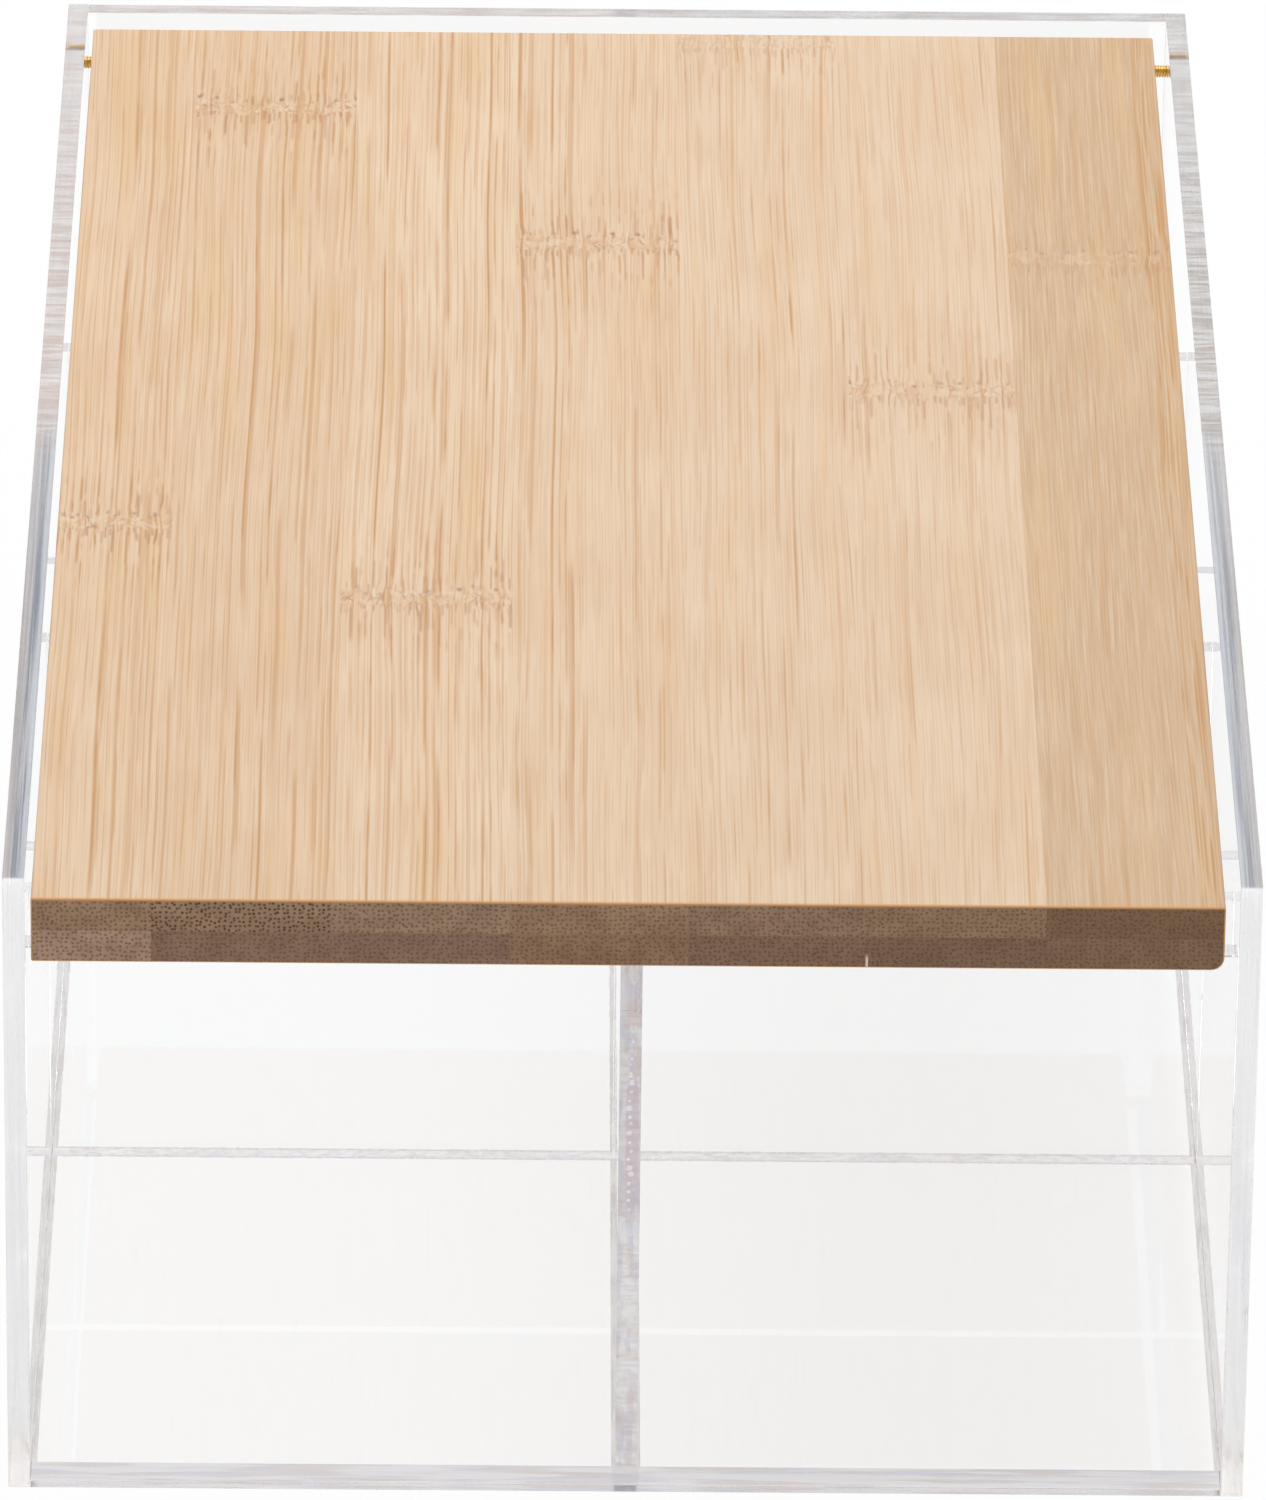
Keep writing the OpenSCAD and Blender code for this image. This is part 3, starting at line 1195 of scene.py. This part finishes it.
class Faces:
    """Faces gathered for one mesh."""

    def __init__(self) -> None:
        """Start with nothing."""
        self.points, self.faces, self.uvs, self.slots, self.count = [], [], [], [], 0

    def add(self, points: np.ndarray, faces: np.ndarray, uvs: np.ndarray, slots: np.ndarray) -> None:
        """Add faces.

        Args:
            points: Vertices of shape (n, 3).
            faces: Vertex numbers of shape (m, k), from 0 for these points.
            uvs: UV pairs of shape (m, k, 2).
            slots: A material slot for each face.
        """
        self.points.append(points)
        self.faces.extend((faces + self.count).tolist())
        self.uvs.append(uvs.reshape(-1, 2))
        self.slots.extend(slots.tolist())
        self.count += len(points)

    def finish(self, name: str, materials: list) -> bpy.types.Object:
        """Make the object."""
        return finish_mesh(name, np.concatenate(self.points), self.faces, self.slots, materials,
                           np.concatenate(self.uvs))


def finish_mesh(name: str, points: np.ndarray, faces: list, slots: list, materials: list,
                uvs: np.ndarray | None = None) -> bpy.types.Object:
    """Put a mesh into the scene, its normals outwards and its doubles merged.

    Args:
        name: The object's name.
        points: Vertices of shape (n, 3).
        faces: Lists of vertex numbers.
        slots: A material slot for each face.
        materials: The materials of the slots.
        uvs: A UV pair for each face corner, in order.

    Returns:
        The new object, at the origin.
    """
    mesh = bpy.data.meshes.new(name)
    mesh.from_pydata(points.tolist(), [], faces)
    mesh.polygons.foreach_set("material_index", np.array(slots, np.int32))
    if uvs is not None:
        mesh.uv_layers.new(name="cut").data.foreach_set("uv", uvs.astype(np.float32).ravel())
    work = bmesh.new()
    work.from_mesh(mesh)
    bmesh.ops.remove_doubles(work, verts=work.verts, dist=MERGE_REACH)
    bmesh.ops.recalc_face_normals(work, faces=work.faces)
    work.to_mesh(mesh)
    work.free()
    for material in materials:
        mesh.materials.append(material)
    piece = bpy.data.objects.new(name, mesh)
    bpy.context.scene.collection.objects.link(piece)
    return piece


def middle(node: str) -> np.ndarray:
    """The middle of a node's box."""
    return np.mean([tuple(corner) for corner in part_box(node)], axis=0)


def take(piece: bpy.types.Object, node: str, body: str) -> bpy.types.Object:
    """Let a piece stand for a node of the frame: hide the node and let the piece move with its body."""
    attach(piece, body)
    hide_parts(node)
    LOG.info("%s: %d faces", piece.name, len(piece.data.polygons))
    return piece


# ---------------------------------------------------------------- the case


@dataclass
class ClearCase:
    """The glued case of clear sheet: base, four walls, three dividers and two lid rests."""

    ease: float = 0.08 * MM
    glue: float = 0.02 * MM
    # Widths of the bands of painted shade on the base beside the side walls and beside the dividers.
    run_w: float = 0.9 * MM
    run_side: float = 0.5 * MM
    lap_play: float = 0.1 * MM
    screw_play: float = 0.05 * MM
    relief_reach: float = 8.06 * MM
    body: str = "case"
    slot: str = "clear_acrylic"
    finishes: list = field(default_factory=list)

    def dress(self) -> None:
        """Make the finishes of the sheet."""
        low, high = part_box("right_side_panel")
        edge = CutEdge(top_z=high.z, inner_x=low.x, sheet=high.x - low.x)
        self.finishes = [finish.material() for finish in (
            edge, ClearSheet(), CementLine(), PaintedShadowBand(), DrilledWall(), Underside())]

    def zones(self, plane: Plane, nodes: tuple, spare: float = 0.0, skin: Skin = Skin.GLUED) -> list:
        """Where nodes touch a plane.

        Args:
            plane: The plane.
            nodes: The nodes.
            spare: How far each zone reaches past its node along the second axis.
            skin: What is there.

        Returns:
            Zones as (low first, low second, high first, high second, skin).
        """
        first, second, _ = plane.value
        boxes = [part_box(node) for node in nodes]
        return [(low[first], low[second] - spare, high[first], high[second] + spare, skin)
                for low, high in boxes]

    def runs(self, dividers: tuple) -> list:
        """Bands of painted shade on the base: along the side walls and on both sides of each divider.

        Args:
            dividers: The cross dividers.

        Returns:
            Zones as (low first, low second, high first, high second, skin).
        """
        low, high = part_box("base_panel")
        sides = [(low.x, low.y, low.x + self.run_w, high.y, Skin.RUN),
                 (high.x - self.run_w, low.y, high.x, high.y, Skin.RUN)]
        left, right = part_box("centre_divider")
        middle = (left.x - self.run_side, low.y, right.x + self.run_side, high.y, Skin.RUN)
        return self.zones(Plane.FLAT, dividers, self.run_side, Skin.RUN) + sides + [middle]

    def pane(self, node: str, plane: Plane, glued: tuple, on_low: tuple = (), on_high: tuple = (),
             holes: tuple = (), runs: tuple = (), under: tuple = ()) -> bpy.types.Object:
        """Make one rectangular sheet of a node.

        Args:
            node: The node that it stands for.
            plane: Where the sheet lies.
            glued: True for the bottom, right, top and left edge that is glued. It ends a hair short.
            on_low: Nodes glued to its low face.
            on_high: Nodes glued to its high face.
            holes: A centre and a radius for each hole.
            runs: Zones of painted shade on its high face beside the joints.
            under: Zones of its low face that aren't glued.

        Returns:
            The new piece.
        """
        low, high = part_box(node)
        first, second, axis = plane.value
        bottom, right, top, left = (self.glue if edge else 0.0 for edge in glued)
        zones = (list(under) + self.zones(plane, on_low), list(runs) + self.zones(plane, on_high))
        heights = (low[axis] + (self.glue if on_low else 0.0),
                   high[axis] - (self.glue if on_high else 0.0))
        pane = Pane.make(node + "_sheet", plane, (low[first] + left, low[second] + bottom),
                         (high[first] - right, high[second] - top), heights, self.ease, glued, zones,
                         holes)
        return take(pane.build(self.finishes), node, self.body)

    def divider(self, node: str, plane: Plane, outline: np.ndarray, glued: tuple) -> bpy.types.Object:
        """Make one divider from its outline.

        Args:
            node: The node that it stands for.
            plane: Where it lies.
            outline: Its outline, anticlockwise.
            glued: Numbers of the outline's edges that are glued.

        Returns:
            The new piece.
        """
        low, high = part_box(node)
        axis = plane.value[2]
        flags = np.zeros(len(outline), bool)
        flags[list(glued)] = True
        sheet = Sheet(node + "_sheet", plane, outline, low[axis], high[axis], self.ease,
                      flags.astype(float), flags)
        return take(sheet.build(self.finishes), node, self.body)

    def walls(self) -> None:
        """Make the base and the four walls."""
        dividers = ("centre_divider", "front_cross_divider", "rear_cross_divider")
        # The base's high face carries the bands of painted shade beside its joints.
        self.pane("base_panel", Plane.FLAT, (True,) * 4, (), dividers, runs=self.runs(dividers[1:]),
                  under=self.zones(Plane.FLAT, ("base_panel",), self.glue, Skin.TABLE))
        self.pane("front_panel", Plane.FRONT, (False, True, False, True), (),
                  ("base_panel", "centre_divider"))
        self.pane("back_panel", Plane.FRONT, (False, True, False, True),
                  ("base_panel", "centre_divider"))
        for side in Side:
            name = side.name.lower()
            low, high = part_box(f"{name}_hinge_screw")
            hole = (tuple(middle(f"{name}_hinge_screw")[1:]), (high.y - low.y) / 2 + self.screw_play)
            inner = ("base_panel", "front_panel", "back_panel") + dividers[1:] + (f"{name}_lid_rest",)
            faces = (inner, ()) if side is Side.RIGHT else ((), inner)
            self.pane(f"{name}_side_panel", Plane.SIDE, (False,) * 4, *faces, (hole,))

    def centre_divider(self) -> None:
        """Make the long divider: two slots open upwards, and a lower stretch at the back."""
        low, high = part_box("centre_divider")
        slot_z = (low.z + high.z) / 2
        _, relief_y, relief_z = middle("right_hinge_screw") - self.relief_reach
        front, back, foot = low.y + self.glue, high.y - self.glue, low.z + self.glue
        top = [(back, relief_z), (relief_y, relief_z), (relief_y, high.z)]
        for node in ("rear_cross_divider", "front_cross_divider"):
            slot_low, slot_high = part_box(node)
            ahead, behind = slot_low.y - self.lap_play, slot_high.y + self.lap_play
            top += [(behind, high.z), (behind, slot_z), (ahead, slot_z), (ahead, high.z)]
        outline = np.array([(front, foot), (back, foot)] + top + [(front, high.z)])
        self.divider("centre_divider", Plane.SIDE, outline, (0, 1, len(outline) - 1))

    def cross_dividers(self) -> None:
        """Make the two cross dividers, each with a slot open downwards."""
        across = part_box("centre_divider")
        half = (across[1].x - across[0].x) / 2 + self.lap_play
        for node in ("front_cross_divider", "rear_cross_divider"):
            low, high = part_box(node)
            slot_z = (low.z + high.z) / 2 + self.glue
            left, right, foot = low.x + self.glue, high.x - self.glue, low.z + self.glue
            outline = np.array([(left, foot), (-half, foot), (-half, slot_z), (half, slot_z),
                                (half, foot), (right, foot), (right, high.z), (left, high.z)])
            self.divider(node, Plane.FRONT, outline, (0, 4, 5, 7))

    def lid_rests(self) -> None:
        """Make the two small blocks that the closed lid lies on, each glued at its outer end."""
        for side in Side:
            glued = (False, side is Side.RIGHT, False, side is Side.LEFT)
            self.pane(f"{side.name.lower()}_lid_rest", Plane.FRONT, glued)

    def build(self) -> None:
        """Make every sheet of the case."""
        self.dress()
        self.walls()
        self.centre_divider()
        self.cross_dividers()
        self.lid_rests()


# ---------------------------------------------------------------- the lid


@dataclass(frozen=True)
class StripLook:
    """How one strip of the lid looks: its ground, its streaks, its joint mark and its sawn end.

    An open seam is the side where the glue between it and its neighbour shows at the sawn end.
    """

    tone: tuple
    streaks: float
    joint_from_front: float | None
    joint_strength: float
    end_tone: tuple
    end_dots: float
    open_seam: Side | None = None


UPPER_LOOKS = (
    StripLook((232, 200, 165), 0.74, 114.8 * MM, 1.0, (185, 149, 117), 0.6),
    StripLook((229, 197, 162), 0.68, 255.8 * MM, 1.0, (182, 147, 117), 1.0),
    StripLook((236, 208, 176), 0.74, 91.8 * MM, 0.9, (184, 151, 123), 0.6),
    StripLook((232, 203, 171), 0.58, 208.8 * MM, 0.9, (180, 145, 114), 0.55),
    StripLook((231, 204, 174), 0.48, 280.8 * MM, 0.5, (174, 140, 113), 0.55),
    StripLook((231, 204, 174), 0.42, 159.8 * MM, 0.75, (170, 137, 107), 0.55),
    StripLook((206, 172, 133), 0.36, 204.8 * MM, 0.5, (140, 106, 76), 0.5),
)
LOWER_LOOKS = (
    StripLook((226, 194, 158), 0.50, 210 * MM, 0.8, (200, 164, 139), 0.6),
    StripLook((222, 188, 152), 0.45, 120 * MM, 0.9, (159, 125, 102), 0.5),
    StripLook((228, 198, 163), 0.60, None, 0.0, (158, 124, 104), 0.5),
    StripLook((224, 192, 158), 0.40, 60 * MM, 0.7, (167, 131, 100), 0.5),
    StripLook((230, 200, 166), 0.55, 165 * MM, 0.9, (151, 116, 93), 0.55, Side.RIGHT),
    StripLook((226, 195, 160), 0.45, None, 0.0, (142, 109, 87), 0.5, Side.LEFT),
    StripLook((220, 187, 150), 0.50, 235 * MM, 0.8, (147, 114, 87), 0.5),
)


class Layer(Enum):
    """A layer of the lid, by the first word of its nodes' names."""

    UPPER = "upper"
    LOWER = "lower"


@dataclass
class BambooLid:
    """The laminated lid: two layers of bamboo strips and the two brass screws that it turns on."""

    edge_ease: float = 0.3 * MM
    end_ease: float = 0.2 * MM
    lower_edge_r: float = 1.8 * MM
    sliver_w: float = 1.5 * MM
    lower_seed: float = 20.0
    thread_pitch: float = 0.4 * MM
    thread_depth: float = 0.2 * MM
    thread_flat: float = 1.35
    thread_steep: float = 2.7
    thread_fade: float = 0.6
    chamfer: float = 0.2 * MM
    slot_w: float = 0.4 * MM
    slot_depth: float = 0.6 * MM
    rings_per_turn: int = 10
    ring_points: int = 72
    cap_rings: int = 15
    cap_hole: float = 0.02
    body: str = "lid"

    def corners(self, layer: Layer, number: int) -> tuple[float, float, float, float]:
        """Corner radii of a strip's cross-section, from low left anticlockwise.

        Args:
            layer: The layer that it lies in.
            number: Its number from the left, from 1.

        Returns:
            Four radii; only the lid's own edges are rounded.
        """
        first, last = number == 1, number == STRIP_COUNT
        if layer is Layer.UPPER:
            return 0.0, 0.0, self.edge_ease if last else 0.0, self.edge_ease if first else 0.0
        return self.edge_ease if first else 0.0, self.lower_edge_r if last else 0.0, 0.0, 0.0

    def seams(self, outline: np.ndarray, layer: Layer, number: int, low: Vector,
              high: Vector) -> np.ndarray:
        """Which edges of a strip's cross-section are glued to a neighbour, and so stay sharp.

        An edge is a seam where both its points lie on the seam's line.

        Args:
            outline: The cross-section.
            layer: The layer that it lies in.
            number: Its number from the left, from 1.
            low: Low corner of the strip.
            high: High corner of the strip.

        Returns:
            One for each seam edge, else zero.
        """
        ahead = np.roll(outline, -1, axis=0)
        seam_z = low.z if layer is Layer.UPPER else high.z
        lines = [(1, seam_z)] + [(0, low.x)] * (number > 1) + [(0, high.x)] * (number < STRIP_COUNT)
        on_seam = [np.isclose(outline[:, axis], value) & np.isclose(ahead[:, axis], value)
                   for axis, value in lines]
        return np.any(on_seam, axis=0).astype(float)

    def strip(self, layer: Layer, number: int, look: StripLook) -> None:
        """Make one strip with its long grain and its end grain.

        Args:
            layer: The layer that it lies in.
            number: Its number from the left, from 1.
            look: Its tones and marks.
        """
        node = f"{layer.value}_strip_{number}"
        low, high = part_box(node)
        upper = layer is Layer.UPPER
        seed = number + (0.0 if upper else self.lower_seed)
        joint = None if look.joint_from_front is None else low.y + look.joint_from_front
        sliver = high.x - self.sliver_w if upper and number == STRIP_COUNT else None
        open_x = {Side.LEFT: low.x, Side.RIGHT: high.x}.get(look.open_seam)
        grain = Bamboo(f"bamboo_{node}", seed, look.tone, look.streaks, joint, look.joint_strength,
                       low.y, sliver)
        end = EndGrain(f"end_{node}", seed, look.end_tone, look.end_dots, open_x)
        outline = rectangle((low.x, low.z), (high.x, high.z), self.corners(layer, number))
        board = Sheet(f"{node}_board", Plane.FRONT, outline, low.y, high.y, self.end_ease,
                      self.seams(outline, layer, number, low, high))
        piece = board.build([grain.material(), end.material()])
        take(piece, node, self.body)

    def thread(self, along: np.ndarray, turn: np.ndarray, radius: float, length: float) -> np.ndarray:
        """The radius of a screw at each place along it and each turn round it.

        The outer radius less the thread's depth times a triangle wave of distance over pitch plus the
        share of a turn, faded out at both ends, and less a chamfer there.

        Args:
            along: Distance from one end.
            turn: Angle round the axis, of the same shape.
            radius: The outer radius.
            length: The screw's length.

        Returns:
            Radii of the same shape.
        """
        phase = (along / self.thread_pitch + turn / (2 * math.pi)) % 1.0
        wave = self.thread_flat - self.thread_steep * np.abs(phase - 0.5)
        cut = self.thread_depth * np.clip(wave, 0, 1)
        end = np.minimum(along, length - along)
        fade = np.clip(end / (self.thread_fade * self.thread_pitch), 0, 1)
        return radius - cut * fade - self.chamfer * (1 - np.clip(end / self.chamfer, 0, 1))

    def screw(self, side: Side, brass: bpy.types.Material) -> None:
        """Make one headless screw with its thread and the slot in its outer end.

        Rings of points round the axis run along the thread, and shrinking ones close each end. Points
        of the slot sink to its floor.

        Args:
            side: The side of the box that it is on.
            brass: Its finish.
        """
        node = f"{side.name.lower()}_hinge_screw"
        low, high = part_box(node)
        length, (_, axis_y, axis_z) = high.x - low.x, middle(node)
        rings = int(length / self.thread_pitch * self.rings_per_turn)
        turn = np.linspace(0, 2 * math.pi, self.ring_points, endpoint=False)
        along, angle = np.meshgrid(np.linspace(0, length, rings), turn, indexing="ij")
        side_r = self.thread(along, angle, (high.z - low.z) / 2, length)
        shares = np.linspace(1, self.cap_hole, self.cap_rings + 1)[1:]
        cap = np.repeat((side_r[0].mean() * shares)[:, None], self.ring_points, axis=1)
        all_r = np.concatenate([cap[::-1], side_r, cap])
        all_x = np.concatenate([np.zeros_like(cap), along, np.full_like(cap, length)])
        y, z = all_r * np.cos(turn), all_r * np.sin(turn)
        in_slot = np.abs(z) < self.slot_w / 2
        all_x = np.where(in_slot, np.minimum(all_x, length - self.slot_depth), all_x)
        x = low.x + all_x if side is Side.RIGHT else high.x - all_x
        space = np.stack([x, axis_y + y, axis_z + z], axis=-1).reshape(-1, 3)
        rows, columns = all_r.shape
        faces = ring_quads(rows, columns).tolist()
        faces += [list(range(columns)), list(range((rows - 1) * columns, rows * columns))]
        piece = finish_mesh(f"{node}_thread", space, faces, [0] * len(faces), [brass])
        take(piece, node, self.body)

    def build(self) -> None:
        """Make every strip and both screws."""
        for layer, looks in ((Layer.UPPER, UPPER_LOOKS), (Layer.LOWER, LOWER_LOOKS)):
            for number, look in enumerate(looks, start=1):
                self.strip(layer, number, look)
        brass = TurnedBrass().material()
        for side in Side:
            self.screw(side, brass)


# ---------------------------------------------------------------- the studio


@dataclass
class Studio:
    """Floor, light and camera.

    The skies are each the height of view where they start to dim, where they end, and how bright they
    are there. Shade runs across the floor under the box, from none to its full share.
    """

    floor_size: float = 6.0
    floor_drop: float = 0.05 * MM
    floor_tone: tuple = (0.86, 0.86, 0.86, 1.0)
    glow: float = 0.97
    shade_across: tuple = (-50.0, 60.0, 0.0, 0.12)
    shade_edge: float = 4.0
    world_strength: float = 0.62
    sky_seen: tuple = (0.4, 0.8, 0.3)
    sky_in_gloss: tuple = (0.08, 0.46, 0.34)
    lamp_place: tuple = (0.0, 0.75, 1.55)
    lamp_aim: tuple = (0.0, 0.05, 0.0)
    lamp_size: float = 1.8
    lamp_power: float = 21.5
    camera_place: tuple = (-15.0 * MM, -1875.7 * MM, 1004.9 * MM)
    tilt: float = math.radians(27.150)
    yaw: float = math.radians(0.489)
    roll: float = math.radians(0.682)
    focal_px: float = 14539.0
    sensor: float = 36.0
    view_reach: float = 50.0
    ray_depths: tuple = (("max_bounces", 96), ("glossy_bounces", 96), ("transmission_bounces", 64),
                         ("transparent_max_bounces", 32))

    def seen_rays(self, tree: Tree) -> Signal:
        """One for rays from the camera, from gloss and through clear sheet, else zero."""
        camera, gloss, through = tree.rays("Is Camera Ray", "Is Glossy Ray", "Is Transmission Ray")
        return camera.most(gloss).most(through)

    def pale_floor(self) -> bpy.types.Material:
        """The floor's finish: mostly white by itself to the eye, and less so in the shade."""
        tree = Tree(bpy.data.materials.new("pale_floor"))
        x, y, _ = tree.object_mm()
        low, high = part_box("base_panel")
        wide, deep = high.x / MM, -low.y / MM
        shade = (abs(x).ramp(wide - self.shade_edge, wide, 1.0, 0.0)
                 * abs(y).ramp(deep - self.shade_edge, deep, 1.0, 0.0) * x.ramp(*self.shade_across))
        tree.surface(tree.mix(self.seen_rays(tree) * (self.glow - shade),
                              tree.add("ShaderNodeBsdfDiffuse", {"Color": self.floor_tone}),
                              tree.add("ShaderNodeEmission", {"Color": WHITE})))
        return tree.owner

    def floor(self) -> None:
        """Lay the pale floor."""
        half, level = self.floor_size / 2, -self.floor_drop
        mesh = bpy.data.meshes.new("floor")
        mesh.from_pydata([(-half, -half, level), (half, -half, level), (half, half, level),
                          (-half, half, level)], [], [(0, 1, 2, 3)])
        mesh.materials.append(self.pale_floor())
        floor = bpy.data.objects.new("floor", mesh)
        bpy.context.scene.collection.objects.link(floor)

    def world(self) -> None:
        """Fill light from all round, and a white background, dimmer overhead."""
        world = bpy.data.worlds.new("studio")
        bpy.context.scene.world = world
        tree = Tree(world)
        *_, up = tree.split("ShaderNodeSeparateXYZ", tree.add("ShaderNodeTexCoord", {}, "Generated"))
        seen, in_gloss = (tree.add("ShaderNodeMapRange", {0: up, 1: start, 2: stop, 3: 1.0, 4: low})
                          for start, stop, low in (self.sky_seen, self.sky_in_gloss))
        mirrored = tree.math("GREATER_THAN", *tree.rays("Is Glossy Ray", "Is Transmission Ray"))
        sky = tree.add("ShaderNodeMix", {0: mirrored, 2: seen, 3: in_gloss})
        tree.surface(tree.mix(self.seen_rays(tree),
                              tree.add("ShaderNodeBackground", {"Strength": self.world_strength}),
                              tree.add("ShaderNodeBackground", {"Color": sky})))

    def lamp(self) -> None:
        """Hang one square soft box above the back of the box."""
        data = bpy.data.lights.new("top_box", "AREA")
        data.shape, data.size, data.energy = "SQUARE", self.lamp_size, self.lamp_power
        lamp = bpy.data.objects.new("top_box", data)
        lamp.location = self.lamp_place
        way = Vector(self.lamp_aim) - Vector(self.lamp_place)
        lamp.rotation_euler = way.to_track_quat("-Z", "Y").to_euler()
        bpy.context.scene.collection.objects.link(lamp)

    def camera(self) -> None:
        """Set the camera.

        Its axes are the view direction from tilt and yaw, the level right vector and their product, the
        last two turned by the roll.
        """
        data = bpy.data.cameras.new("camera")
        data.sensor_fit = "VERTICAL"
        data.sensor_height = self.sensor
        data.sensor_width = self.sensor * IMAGE_W / IMAGE_H
        data.lens = self.focal_px * self.sensor / IMAGE_H
        data.clip_end = self.view_reach
        level = math.cos(self.tilt)
        view = Vector((math.sin(self.yaw) * level, math.cos(self.yaw) * level, -math.sin(self.tilt)))
        right = Vector((math.cos(self.yaw), -math.sin(self.yaw), 0.0))
        above = right.cross(view)
        across = right * math.cos(self.roll) + above * math.sin(self.roll)
        upward = above * math.cos(self.roll) - right * math.sin(self.roll)
        camera = bpy.data.objects.new("camera", data)
        turn = Matrix((across, upward, -view)).transposed()
        camera.matrix_world = Matrix.Translation(self.camera_place) @ turn.to_4x4()
        bpy.context.scene.collection.objects.link(camera)
        bpy.context.scene.camera = camera

    def build(self) -> None:
        """Make camera, floor and light, and give clear sheet the ray depth that it needs."""
        self.camera()
        self.floor()
        self.world()
        self.lamp()
        scene = bpy.context.scene
        scene.view_settings.view_transform = "Standard"
        for name, depth in self.ray_depths:
            setattr(scene.cycles, name, depth)


def main() -> None:
    """Build the studio, the case and the lid."""
    logging.basicConfig(level=logging.INFO, format="%(name)s %(message)s")
    for part in (Studio(), ClearCase(), BambooLid()):
        part.build()
        LOG.info("%s built", type(part).__name__)


if __name__ == "__main__":
    main()
